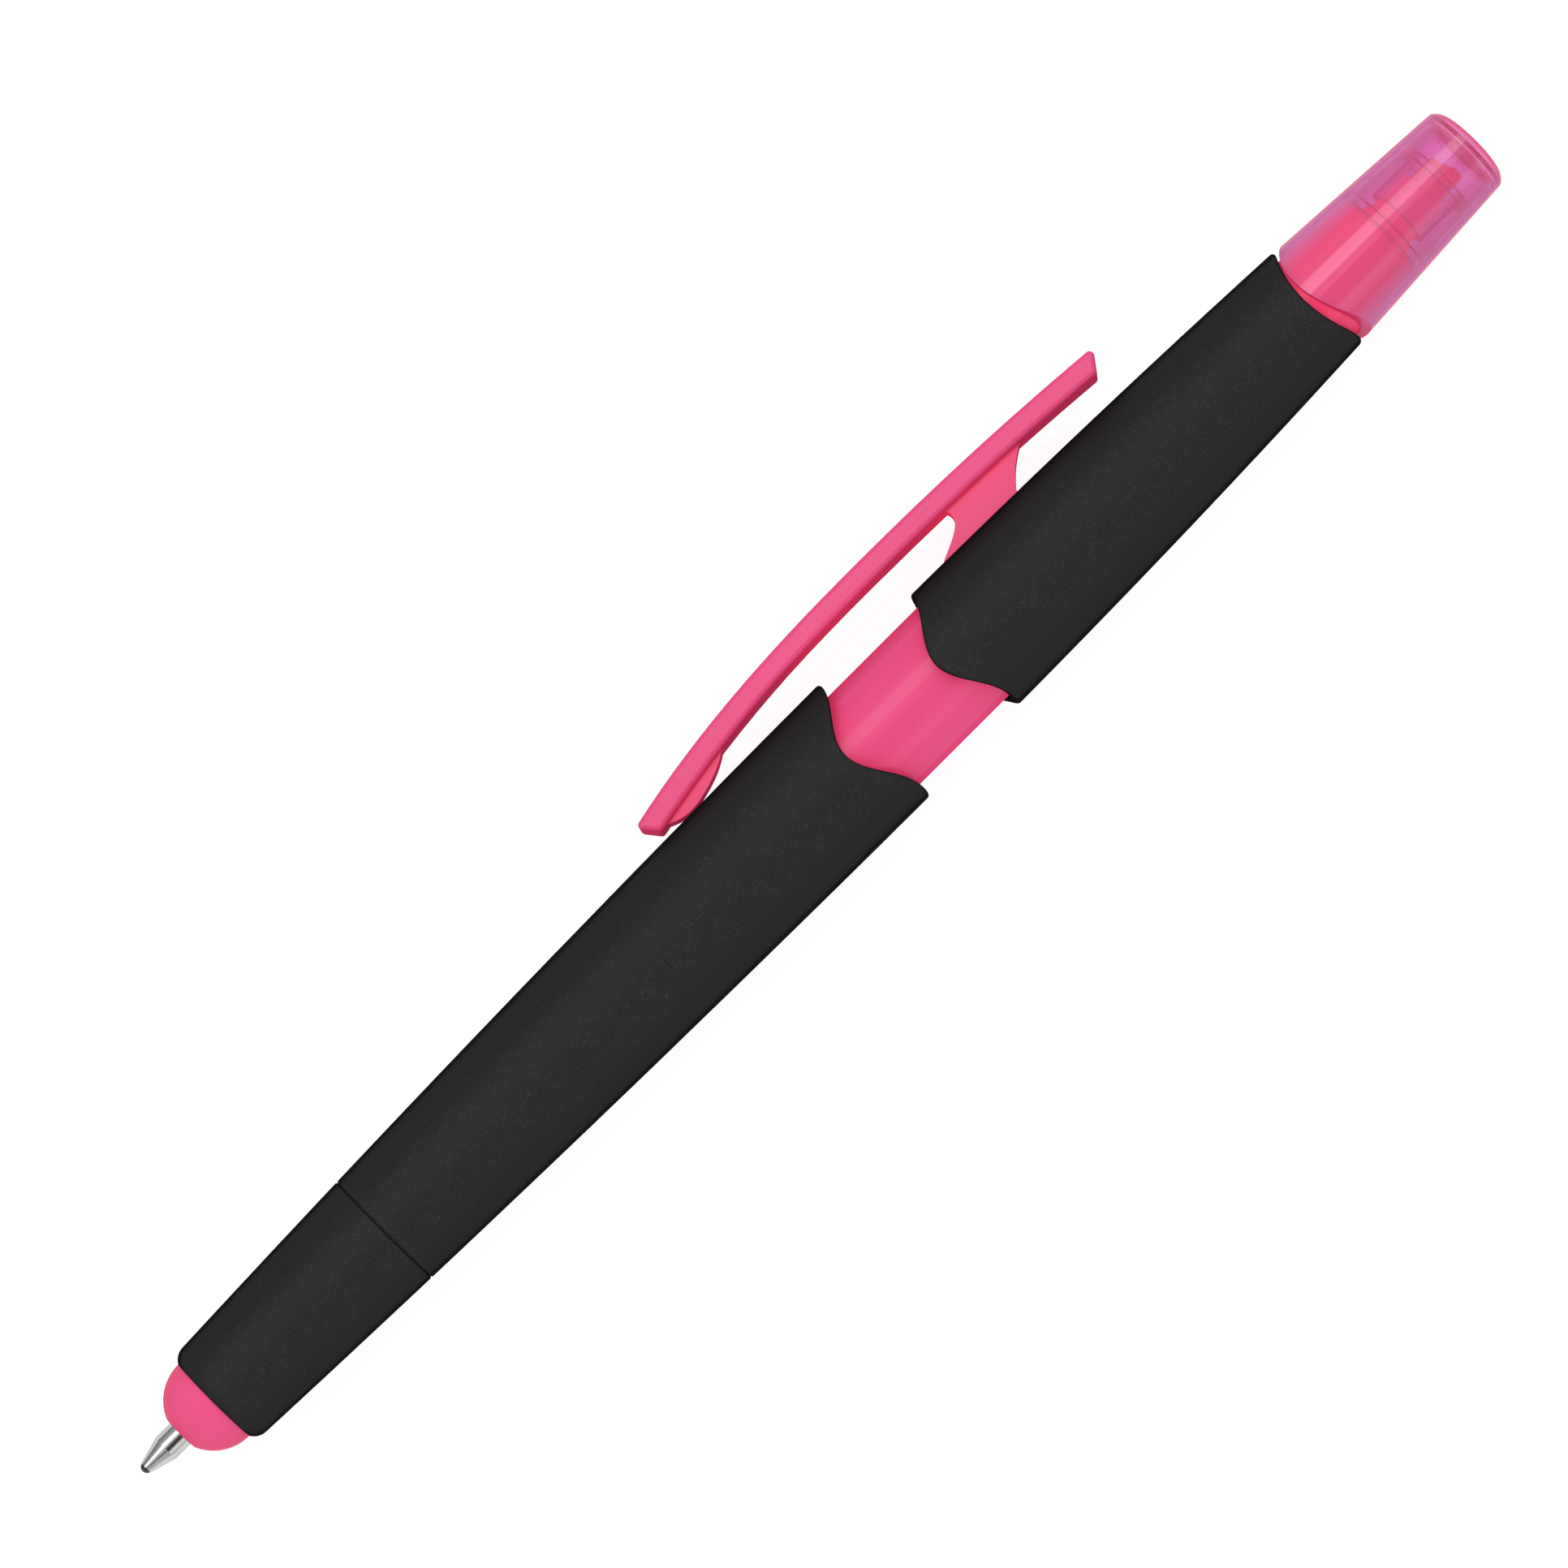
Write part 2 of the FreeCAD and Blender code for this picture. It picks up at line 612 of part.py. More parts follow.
def reservoir_film():
    """Thin film sleeve round the ink rod."""
    return tube(RESERVOIR_START, CHAMBER_END - 0.1, RESERVOIR_R + 0.01, FILM_R)


def reservoir_plug():
    """Plug that closes the back of the ink chamber."""
    head = rod(PLUG_START, HOLDER_BACK - PRESS, TUBE_BORE - 0.2)
    stem = rod(PLUG_START + 0.5, RESERVOIR_START - 0.2, CHAMBER_R - PRESS)
    return head.fuse(stem).removeSplitter()


def highlighter_nib():
    """Chisel nib with a thin tail that reaches into the reservoir."""
    head_x = NIB_COLLAR_START + 0.85
    solid = rod(head_x, NIB_END, NIB_R).fuse(rod(NIB_TAIL_X, head_x + 0.05, NIB_TAIL_R))
    wedge_start = NIB_COLLAR_END + 0.7
    for side in (-1, 1):
        cheek = Part.makePolygon(
            [
                Vector(wedge_start, 0, side * NIB_R),
                Vector(NIB_END + 1, 0, side * 0.6),
                Vector(NIB_END + 1, 0, side * 4),
                Vector(wedge_start, 0, side * 4),
                Vector(wedge_start, 0, side * NIB_R),
            ]
        )
        cutter = Part.Face(cheek).extrude(Vector(0, 12, 0))
        cutter.translate(Vector(0, -6, 0))
        solid = solid.cut(cutter)
    slant = slab(
        [
            line((NIB_END - 1.0, 3), (NIB_END + 0.4, -3)),
            line((NIB_END + 0.4, -3), (NIB_END + 4, -3)),
            line((NIB_END + 4, -3), (NIB_END + 4, 3)),
            line((NIB_END + 4, 3), (NIB_END - 1.0, 3)),
        ],
        5,
    )
    return solid.cut(slant).removeSplitter()


# ---------------------------------------------------------------- cap
def cap_outside(x_low):
    """Solid shape of the cap: straight taper, rounded corner and a small flat on the end."""
    flat = (PEN_LENGTH, CAP_FLAT_R)
    return turned_edges(
        [
            line((x_low, 0), (x_low, cap_radius(x_low))),
            line((x_low, cap_radius(x_low)), (CAP_TOP_X, CAP_TOP_R)),
            arc((CAP_TOP_X, CAP_TOP_R), (PEN_LENGTH - 0.2, CAP_FLAT_R + 0.66), flat),
            line(flat, (PEN_LENGTH, 0)),
            line((PEN_LENGTH, 0), (x_low, 0)),
        ]
    )


def cap_hollow(x_low):
    """Inside of the cap, narrowed by the ring that stops it on the holder's shoulder."""
    before, after = STOP_RING_X - 0.1, STOP_RING_X + STOP_RING_WIDTH + 0.1
    stop_r = cap_radius(STOP_RING_X) - CAP_WALL - 0.3
    floor_r = cap_radius(CAP_FLOOR) - CAP_WALL
    return turned(
        [
            (x_low, 0),
            (x_low, cap_radius(x_low) - CAP_WALL),
            (before, cap_radius(before) - CAP_WALL),
            (STOP_RING_X, stop_r),
            (STOP_RING_X + STOP_RING_WIDTH, stop_r),
            (after, cap_radius(after) - CAP_WALL),
            (CAP_FLOOR - 0.3, floor_r),
            (CAP_FLOOR, floor_r - 0.3),
            (CAP_FLOOR, 0),
        ]
    )


def cap():
    """Clear cap: two tongues at the rim reach into the sleeve's hollows, and the end has a gate mark."""
    x_low = CAP_RIM_X - 0.5
    middle = CAP_RIM_X + CAP_RIM_R
    keep = Part.makeCylinder(CAP_RIM_R, 4 * TUBE_R, Vector(middle, 0, -2 * TUBE_R))
    keep = keep.fuse(block(middle, PEN_LENGTH + 1, -CAP_RIM_R, CAP_RIM_R, 2 * TUBE_R))
    keep.rotate(ORIGIN, AXIS, CAP_TURN)
    gate = rod(PEN_LENGTH - GATE_DEPTH, PEN_LENGTH + 1, GATE_R)
    solid = cap_outside(x_low).cut([cap_hollow(x_low - 1), gate])
    return solid.common(keep).removeSplitter()


def cap_seal():
    """Inner sleeve of the cap that closes round the nib's collar."""
    flange_x, flange_end = SEAL_FLANGE
    flange_r = cap_radius(flange_end) - CAP_WALL - PRESS
    bore = NIB_COLLAR_R + RUN
    return turned(
        [
            (SEAL_START, bore + 0.25),
            (SEAL_START + 0.2, bore),
            (flange_end, bore),
            (flange_end, flange_r),
            (flange_x, flange_r),
            (flange_x, bore + 0.55),
            (SEAL_START, bore + 0.55),
        ]
    )


MAKERS = [
    nose_cone,
    lower_barrel,
    upper_sleeve,
    stylus_dome,
    tip_guide,
    writing_ball,
    refill_point,
    refill_tube,
    guide_tube,
    cam_tube,
    follower,
    return_spring,
    retaining_ring,
    centre_tube,
    friction_ring,
    clip,
    highlighter_holder,
    ink_reservoir,
    reservoir_film,
    reservoir_plug,
    highlighter_nib,
    cap,
    cap_seal,
]

os.makedirs("parts", exist_ok=True)
for maker in MAKERS:
    piece = maker()
    if not piece.isValid() or len(piece.Solids) != 1:
        raise ValueError(f"{maker.__name__} is not one sound solid")
    piece.exportStep(f"parts/{maker.__name__}.step")
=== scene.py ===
"""Looks of the twist pen: ballpoint and stylus dome at the nose, capped highlighter at the back.

Metres, in the CAD's frame: +X along the pen from the ball to the cap, +Y towards the clip, +Z up.
"""

import json
import math

import bmesh
import bpy
from mathutils import Matrix, Vector


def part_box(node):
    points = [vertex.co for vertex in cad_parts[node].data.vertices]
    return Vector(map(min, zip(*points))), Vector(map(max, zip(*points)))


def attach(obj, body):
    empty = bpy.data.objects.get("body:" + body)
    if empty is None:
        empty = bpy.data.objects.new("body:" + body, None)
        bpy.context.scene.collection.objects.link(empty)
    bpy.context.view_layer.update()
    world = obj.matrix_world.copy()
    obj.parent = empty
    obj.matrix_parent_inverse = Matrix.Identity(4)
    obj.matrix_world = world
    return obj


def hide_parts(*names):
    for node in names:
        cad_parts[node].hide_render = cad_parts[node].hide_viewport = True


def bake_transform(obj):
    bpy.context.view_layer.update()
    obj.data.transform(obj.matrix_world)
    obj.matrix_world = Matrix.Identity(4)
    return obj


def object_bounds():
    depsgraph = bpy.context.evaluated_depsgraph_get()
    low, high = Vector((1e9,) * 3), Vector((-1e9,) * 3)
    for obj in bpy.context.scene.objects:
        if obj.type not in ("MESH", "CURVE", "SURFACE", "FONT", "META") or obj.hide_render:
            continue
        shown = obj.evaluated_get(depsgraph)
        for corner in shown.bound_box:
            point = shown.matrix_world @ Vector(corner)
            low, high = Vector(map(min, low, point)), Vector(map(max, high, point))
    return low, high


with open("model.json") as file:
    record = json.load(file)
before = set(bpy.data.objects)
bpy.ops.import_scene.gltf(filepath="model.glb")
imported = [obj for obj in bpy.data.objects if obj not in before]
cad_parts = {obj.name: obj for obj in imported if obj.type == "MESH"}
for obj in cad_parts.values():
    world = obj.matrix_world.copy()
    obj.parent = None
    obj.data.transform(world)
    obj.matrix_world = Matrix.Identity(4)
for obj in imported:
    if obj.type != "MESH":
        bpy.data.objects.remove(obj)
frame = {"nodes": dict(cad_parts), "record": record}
cad_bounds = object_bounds()
nodes = frame["nodes"]
slots = {part["node"]: part["material_slot"] for part in frame["record"]["subparts"]}

MM = 0.001
X_AXIS = Vector((1, 0, 0))
WHITE = (1.0, 1.0, 1.0)


# ---------------------------------------------------------------- material helpers
class Recipe:
    """The node tree of a material or a world in the making."""

    def __init__(self, owner):
        self.owner = owner
        owner.use_nodes = True
        self.tree = owner.node_tree
        self.tree.nodes.clear()

    def feed(self, socket, value):
        """Gives an input a number, a vector, a colour of three numbers, or another node's output."""
        if isinstance(value, bpy.types.NodeSocket):
            self.tree.links.new(value, socket)
        elif socket.type == "RGBA":
            socket.default_value = (*value, 1)
        else:
            socket.default_value = value

    def add(self, kind, **inputs):
        """New node. Inputs are given by name, with _ for a space."""
        node = self.tree.nodes.new(kind)
        for key, value in inputs.items():
            self.feed(node.inputs[key.replace("_", " ")], value)
        return node

    def maths(self, operation, *values):
        """Result of a maths node."""
        node = self.add("ShaderNodeMath")
        node.operation = operation
        for socket, value in zip(node.inputs, values):
            self.feed(socket, value)
        return node.outputs[0]

    def parts(self, vector):
        """The X, Y and Z of a vector."""
        return self.add("ShaderNodeSeparateXYZ", Vector=vector).outputs

    def noise(self, scale, detail=3.0, roughness=0.55, stretch=(1, 1, 1)):
        """Noise in the object's own space. A stretch below 1 draws it out along that axis."""
        where = self.add("ShaderNodeTexCoord").outputs["Object"]
        stretched = self.add("ShaderNodeMapping", Vector=where, Scale=stretch).outputs["Vector"]
        texture = self.add(
            "ShaderNodeTexNoise", Vector=stretched, Scale=scale, Detail=detail, Roughness=roughness)
        return texture.outputs["Fac"]

    def scaled(self, value, low, high, start=0.3, end=0.7):
        """Maps a value that runs from start to end to low..high."""
        node = self.add(
            "ShaderNodeMapRange", Value=value, From_Min=start, From_Max=end, To_Min=low, To_Max=high)
        return node.outputs["Result"]

    def tinted(self, value, low, high, start=0.3, end=0.7):
        """Maps a value that runs from start to end to a blend of two colours."""
        node = self.add("ShaderNodeMix")
        node.data_type = "RGBA"
        first, second = (socket for socket in node.inputs if socket.type == "RGBA")
        self.feed(node.inputs[0], self.scaled(value, 0.0, 1.0, start, end))
        self.feed(first, low)
        self.feed(second, high)
        return next(socket for socket in node.outputs if socket.type == "RGBA")

    def bump(self, height, depth, **inputs):
        """Bump of a depth in metres. Normal=another bump lays it on top of that one."""
        node = self.add("ShaderNodeBump", Height=height, Strength=1.0, Distance=depth, **inputs)
        return node.outputs["Normal"]

    def facing(self, blend=0.5):
        """0 where the surface faces the viewer, 1 at grazing angles."""
        return self.add("ShaderNodeLayerWeight", Blend=blend).outputs["Facing"]

    def shader(self, colour, roughness, normal, **inputs):
        """Principled shader."""
        return self.add(
            "ShaderNodeBsdfPrincipled", Base_Color=colour, Roughness=roughness, Normal=normal, **inputs)

    def mix(self, share, first, second):
        """Blend of two shaders."""
        node = self.add("ShaderNodeMixShader", Fac=share)
        self.feed(node.inputs[1], first.outputs[0])
        self.feed(node.inputs[2], second.outputs[0])
        return node

    def done(self, shader, output="ShaderNodeOutputMaterial"):
        """Wires the shader to the output and hands back the finished material or world."""
        self.add(output, Surface=shader.outputs[0])
        return self.owner


def new_material(name):
    """Recipe of a new material."""
    return Recipe(bpy.data.materials.new(name))


# ---------------------------------------------------------------- materials
def soft_touch_black():
    """Rubberised black coat: fine grain, a few dust-fine specks, a dull sheen, and a darker outline that is
    painted shade.
    """
    recipe = new_material("soft_touch_black")
    dark, light = (0.0160, 0.0160, 0.0163), (0.0265, 0.0265, 0.0268)
    speck = (0.040, 0.040, 0.041)
    # outline: painted shade, a near-black laid on where the surface turns away from the camera
    outline = (0.0095, 0.0095, 0.0097)
    grain = recipe.noise(5200, 2, 0.6)
    facing = recipe.facing()
    colour = recipe.tinted(grain, dark, light)
    colour = recipe.tinted(recipe.noise(2600, 1), colour, speck, 0.70, 0.85)
    colour = recipe.tinted(facing, colour, outline, 0.05, 0.75)
    waviness = recipe.bump(recipe.noise(420, 2), 3e-6)
    return recipe.done(recipe.shader(
        colour, recipe.scaled(grain, 0.50, 0.64), recipe.bump(grain, 9e-6, Normal=waviness), IOR=1.45,
        Specular_IOR_Level=recipe.scaled(facing, 0.13, 0.0, 0.1, 0.7)))


def pink_plastic(name, open_colour, painted_shade_colour, painted_glow):
    """Satin fluorescent moulding. Its outline is deepened as painted shade, and where other pieces crowd it
    the colour turns to a painted shade colour; a painted glow, stronger in those crowded places, keeps the
    shadows red."""
    recipe = new_material(name)
    darker = tuple(0.96 * share for share in open_colour)
    # outline: painted shade, a deeper pink laid on where the surface turns away from the camera
    outline = (open_colour[0], 0.7 * open_colour[1], 0.7 * open_colour[2])
    painted_shade_glow = 0.21
    crowded, free = 0.30, 0.95
    flow = recipe.noise(260, stretch=(0.18, 1, 1))
    facing = recipe.facing()
    # ambient occlusion masks painted shade: where pieces crowd the plastic its colour turns to the painted
    # shade colour
    occlusion = recipe.add("ShaderNodeAmbientOcclusion", Distance=4 * MM)
    occlusion.samples = 6
    painted_shade_mask = occlusion.outputs["AO"]
    colour = recipe.tinted(flow, darker, open_colour)
    colour = recipe.tinted(facing, colour, outline, 0.6, 0.95)
    colour = recipe.tinted(painted_shade_mask, painted_shade_colour, colour, crowded, free)
    return recipe.done(recipe.shader(
        colour, recipe.scaled(flow, 0.17, 0.23), recipe.bump(flow, 2e-6), IOR=1.49,
        Specular_IOR_Level=recipe.scaled(facing, 0.24, 0.0, 0.15, 0.6),
        # emission is painted glow, which rises in the crowded places to keep the painted shade red
        Emission_Color=(1.0, 0.06, 0.20),
        Emission_Strength=recipe.scaled(painted_shade_mask, painted_shade_glow, painted_glow, crowded, free)))


def stylus_rubber():
    """Smooth pink silicone with a dull skin, a breath of dust, and a redder outline that is painted shade.
    """
    recipe = new_material("pink_rubber")
    deep, pale = (0.805, 0.083, 0.222), (0.835, 0.090, 0.242)
    dust = (0.84, 0.14, 0.30)
    # outline: painted shade, a redder pink laid on where the dome turns away from the camera
    outline = (0.80, 0.050, 0.150)
    grain = recipe.noise(6500, 2)
    colour = recipe.tinted(recipe.noise(300), deep, pale)
    colour = recipe.tinted(recipe.noise(4200, 1), colour, dust, 0.72, 0.88)
    colour = recipe.tinted(recipe.facing(), colour, outline, 0.35, 0.9)
    return recipe.done(recipe.shader(
        colour, recipe.scaled(grain, 0.5, 0.62), recipe.bump(grain, 3e-6), IOR=1.41,
        Specular_IOR_Level=0.15))


def end_faces(recipe):
    """0 on walls that run along the pen, 1 on faces that look along it."""
    normal = recipe.parts(recipe.add("ShaderNodeTexCoord").outputs["Normal"])
    return recipe.scaled(recipe.maths("ABSOLUTE", normal["X"]), 0.0, 1.0, 0.35, 0.8)


def clear_pink(name, tint, pale, deep, body_share, outline_share, end_share):
    """Tinted see-through plastic with some cloudy body. The body is pale head-on, deep at the outline and
    red on the faces that look along the pen; the three shares say how cloudy each of these is."""
    recipe = new_material(name)
    red_tint = (tint[0], 0.5 * tint[1], 0.7 * tint[2])
    red_body = (0.76, 0.045, 0.160)
    normal = recipe.bump(recipe.noise(500, 2), 2e-6)
    smear = recipe.noise(900, stretch=(0.3, 1, 1))
    facing = recipe.facing(0.4)
    ends = end_faces(recipe)
    glass = recipe.shader(
        recipe.tinted(ends, tint, red_tint, 0.0, 1.0), recipe.scaled(smear, 0.02, 0.07), normal,
        IOR=1.22, Transmission_Weight=1.0, Coat_Roughness=0.06, Coat_IOR=1.7,
        Coat_Weight=recipe.scaled(facing, 0.5, 0.0, 0.02, 0.2))
    body = recipe.tinted(facing, pale, deep, 0.15, 0.5)
    body = recipe.tinted(facing, body, red_body, 0.6, 0.85)
    body = recipe.tinted(ends, body, red_body, 0.0, 1.0)
    cloudy = recipe.shader(body, 0.3, normal, IOR=1.49, Specular_IOR_Level=0.05)
    on_walls = recipe.scaled(facing, body_share, outline_share, 0.15, 0.6)
    on_ends = recipe.scaled(ends, 0.0, end_share, 0.0, 1.0)
    seen = recipe.mix(recipe.maths("MAXIMUM", on_walls, on_ends), glass, cloudy)
    clear = recipe.add("ShaderNodeBsdfTransparent", Color=(0.98, 0.94, 0.97))
    is_shadow = recipe.add("ShaderNodeLightPath").outputs["Is Shadow Ray"]
    return recipe.done(recipe.mix(is_shadow, seen, clear))


def natural_plastic():
    """Uncoloured moulded plastic of the hidden mechanism."""
    recipe = new_material("natural_plastic")
    fine = recipe.noise(3200, 2)
    colour = recipe.tinted(recipe.noise(220, 4), (0.66, 0.64, 0.58), (0.76, 0.75, 0.70))
    return recipe.done(recipe.shader(
        colour, recipe.scaled(fine, 0.36, 0.46), recipe.bump(fine, 3e-6), IOR=1.49,
        Subsurface_Weight=0.3, Subsurface_Scale=0.8 * MM, Subsurface_Radius=(1.0, 0.9, 0.8)))


def turned_metal(name, low, high, roughness):
    """Turned metal: fine rings round the pen's axis."""
    recipe = new_material(name)
    rings = recipe.noise(9000, stretch=(1, 0.02, 0.02))
    return recipe.done(recipe.shader(
        recipe.tinted(recipe.noise(700), low, high),
        recipe.scaled(rings, roughness - 0.04, roughness + 0.08),
        recipe.bump(rings, 2e-6), Metallic=1.0, Specular_Tint=(0.75, 0.75, 0.75)))


def fibre(name, low, high):
    """Bonded fibres that run along the pen, soaked in fluorescent ink; a little emission paints a glow on
    them.
    """
    recipe = new_material(name)
    strands = recipe.noise(9000, roughness=0.65, stretch=(0.12, 1, 1))
    fluff = recipe.bump(recipe.noise(7000, 2), 1.2e-5)
    # the emission is painted glow that brightens the nib
    return recipe.done(recipe.shader(
        recipe.tinted(strands, low, high, 0.35, 0.65), 0.8, recipe.bump(strands, 2.2e-5, Normal=fluff),
        IOR=1.4, Specular_IOR_Level=0.2, Emission_Color=(1.0, 0.05, 0.08), Emission_Strength=0.12))


def black_rubber():
    """Dull black rubber of the friction ring."""
    recipe = new_material("black_rubber")
    colour = recipe.tinted(recipe.noise(600), (0.012, 0.012, 0.012), (0.030, 0.030, 0.030))
    return recipe.done(recipe.shader(colour, 0.7, recipe.bump(recipe.noise(5000, 2), 6e-6)))


def film():
    """Thin clear film round the ink rod."""
    recipe = new_material("clear_film")
    crease = recipe.noise(800)
    return recipe.done(recipe.shader(
        recipe.tinted(crease, (0.93, 0.88, 0.92), (0.97, 0.94, 0.97)), recipe.scaled(crease, 0.12, 0.2),
        recipe.bump(crease, 6e-6), IOR=1.45, Transmission_Weight=0.9))


def floor_material():
    """Light table: pale paper lit from below, so shadows stay faint."""
    recipe = new_material("studio_floor")
    colour = recipe.tinted(recipe.noise(6), (0.20, 0.20, 0.20), (0.22, 0.22, 0.22))
    return recipe.done(recipe.shader(
        colour, 0.9, recipe.bump(recipe.noise(2500, 2), 1e-5), Specular_IOR_Level=0.0,
        Emission_Color=WHITE, Emission_Strength=0.9))


MATERIALS = {
    "soft_touch_black": soft_touch_black(),
    # the last two arguments give the painted shade colour and the painted glow
    "pink_plastic": pink_plastic(
        "pink_plastic", open_colour=(0.775, 0.074, 0.220), painted_shade_colour=(0.82, 0.042, 0.120), painted_glow=0.05),
    "pink_rubber": stylus_rubber(),
    "black_rubber": black_rubber(),
    "natural_plastic": natural_plastic(),
    "clear_film": film(),
    "steel": turned_metal("steel", (0.42, 0.43, 0.45), (0.56, 0.57, 0.59), 0.16),
    "nickel_silver": turned_metal("nickel_silver", (0.47, 0.47, 0.46), (0.60, 0.60, 0.59), 0.17),
    "inked_fibre": fibre("inked_fibre", (0.84, 0.030, 0.080), (1.00, 0.085, 0.140)),
    "clear_pink": clear_pink(
        "clear_pink", tint=(0.76, 0.35, 0.66), pale=(0.80, 0.27, 0.48), deep=(0.60, 0.13, 0.36),
        body_share=0.17, outline_share=0.93, end_share=0.3),
}
OWN_MATERIALS = {
    # the last two arguments give the painted shade colour and the painted glow
    "highlighter_holder": pink_plastic(
        "holder_pink", open_colour=(0.86, 0.066, 0.175), painted_shade_colour=(0.84, 0.042, 0.120), painted_glow=0.11),
    "writing_ball": turned_metal("ball_carbide", (0.06, 0.06, 0.07), (0.10, 0.10, 0.11), 0.12),
    "cap_seal": clear_pink(
        "seal_clear", tint=(0.92, 0.72, 0.88), pale=(0.90, 0.30, 0.50), deep=(0.70, 0.10, 0.26),
        body_share=0.05, outline_share=0.6, end_share=0.8),
}


def paint(piece, material):
    """Gives a piece one material in place of whatever it has."""
    piece.data.materials.clear()
    piece.data.materials.append(material)


def paint_cad_nodes():
    """Each CAD node takes the material of its slot in the record, but for three that have their own."""
    for name, node in nodes.items():
        for place in node.material_slots:
            place.material = OWN_MATERIALS.get(name, MATERIALS[slots[name]])


# ---------------------------------------------------------------- mesh helpers
def stand_in(node, ending, mesh_data):
    """Turns a bmesh into a smooth piece that takes a CAD node's place and the material of its slot."""
    name = f"{node}_{ending}"
    mesh = bpy.data.meshes.new(name)
    bmesh.ops.recalc_face_normals(mesh_data, faces=mesh_data.faces)
    mesh_data.to_mesh(mesh)
    mesh_data.free()
    for face in mesh.polygons:
        face.use_smooth = True
    piece = bpy.data.objects.new(name, mesh)
    bpy.context.scene.collection.objects.link(piece)
    paint(piece, MATERIALS[slots[node]])
    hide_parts(node)
    return piece


def skin(mesh_data, rings, looped=False):
    """Quads between neighbouring rings of vertices. A looped skin also joins its last ring to its first;
    any other has its two end rings filled in."""
    count = len(rings[0])
    pairs = list(zip(rings, rings[1:]))
    if looped:
        pairs.append((rings[-1], rings[0]))
    for first, second in pairs:
        for k in range(count):
            after = (k + 1) % count
            mesh_data.faces.new((first[k], first[after], second[after], second[k]))
    if not looped:
        mesh_data.faces.new(rings[0])
        mesh_data.faces.new(rings[-1])


def ring_of(mesh_data, x, radius, sides):
    """Ring of vertices round the pen's axis."""
    turn = 2 * math.pi / sides
    return [
        mesh_data.verts.new((x, radius * math.cos(k * turn), radius * math.sin(k * turn)))
        for k in range(sides)
    ]


def turned(outline, sides=96):
    """Hollow bmesh turned about the pen's axis from a closed outline of (x, radius) points."""
    mesh_data = bmesh.new()
    rings = [ring_of(mesh_data, x, radius, sides) for x, radius in outline]
    skin(mesh_data, rings, looped=True)
    return mesh_data


def arc_points(centre_x, centre_r, radius, start_deg, end_deg, count):
    """Points on a circle in the (x, radius) plane; 0 degrees is +x and 90 is outwards."""
    angles = [math.radians(start_deg + (end_deg - start_deg) * k / count) for k in range(count + 1)]
    return [(centre_x + radius * math.cos(a), centre_r + radius * math.sin(a)) for a in angles]


# ---------------------------------------------------------------- pieces built anew
def stylus_dome():
    """Rubber dome: round outside, rolled lip at the ballpoint's hole, open skirt at the back."""
    low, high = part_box("stylus_dome")
    wall, lip = 0.95 * MM, 0.25 * MM
    inner_edge, outer_edge = 0.2 * MM, 0.3 * MM
    point_play = 0.1 * MM
    radius = high.y
    inner = radius - wall
    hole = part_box("refill_point")[1].y + point_play
    centre = low.x + math.sqrt(radius**2 - hole**2)
    lip_reach = math.sqrt((radius - lip) ** 2 - (hole + lip) ** 2)
    lip_angle = math.degrees(math.atan2(hole + lip, -lip_reach))
    inner_angle = math.degrees(math.atan2(hole, -math.sqrt(inner**2 - hole**2)))
    outline = arc_points(centre, 0, radius, 90, lip_angle, 28)
    outline += arc_points(centre - lip_reach, hole + lip, lip, lip_angle, 270, 6)[1:]
    outline += arc_points(centre, 0, inner, inner_angle, 90, 20)
    outline += arc_points(high.x - inner_edge, inner + inner_edge, inner_edge, 270, 360, 4)
    outline += arc_points(high.x - outer_edge, radius - outer_edge, outer_edge, 0, 90, 5)
    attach(stand_in("stylus_dome", "skin", turned(outline)), "nose_core")


def friction_ring():
    """Rubber O-ring with the thin flash line of its mould round the outside."""
    low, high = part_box("friction_ring")
    section = (high.x - low.x) / 2
    flash = 0.02 * MM
    circle = arc_points((low.x + high.x) / 2, high.y - section, section, 0, 345, 23)
    outline = [(x, r - flash if abs(x - low.x - section) > flash else r) for x, r in circle]
    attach(stand_in("friction_ring", "rubber", turned(outline)), "upper_half")


def ink_reservoir():
    """Fibre rod, finely fluted where the film draws it together, with a bore for the nib's tail."""
    low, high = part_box("ink_reservoir")
    radius = high.y
    bore_radius, bore_depth = 1.23 * MM, 4.4 * MM
    edge = 0.3 * MM
    sides, flutes, flute_depth = 144, 36, 0.05 * MM
    stations = [
        (high.x - bore_depth, bore_radius * 0.4),
        (high.x - bore_depth, bore_radius),
        (high.x, bore_radius),
        (high.x, radius - edge),
        (high.x - edge, radius),
        (low.x + edge, radius),
        (low.x, radius - edge),
        (low.x, radius * 0.4),
    ]
    mesh_data = bmesh.new()
    rings = []
    for x, r in stations:
        ring = ring_of(mesh_data, x, r, sides)
        if r > bore_radius:
            for k, vertex in enumerate(ring):
                groove = flute_depth * (1 - math.cos(2 * math.pi * flutes * k / sides)) / 2
                vertex.co.yz *= (r - groove) / r
        rings.append(ring)
    skin(mesh_data, rings)
    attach(stand_in("ink_reservoir", "rod", mesh_data), "upper_half")


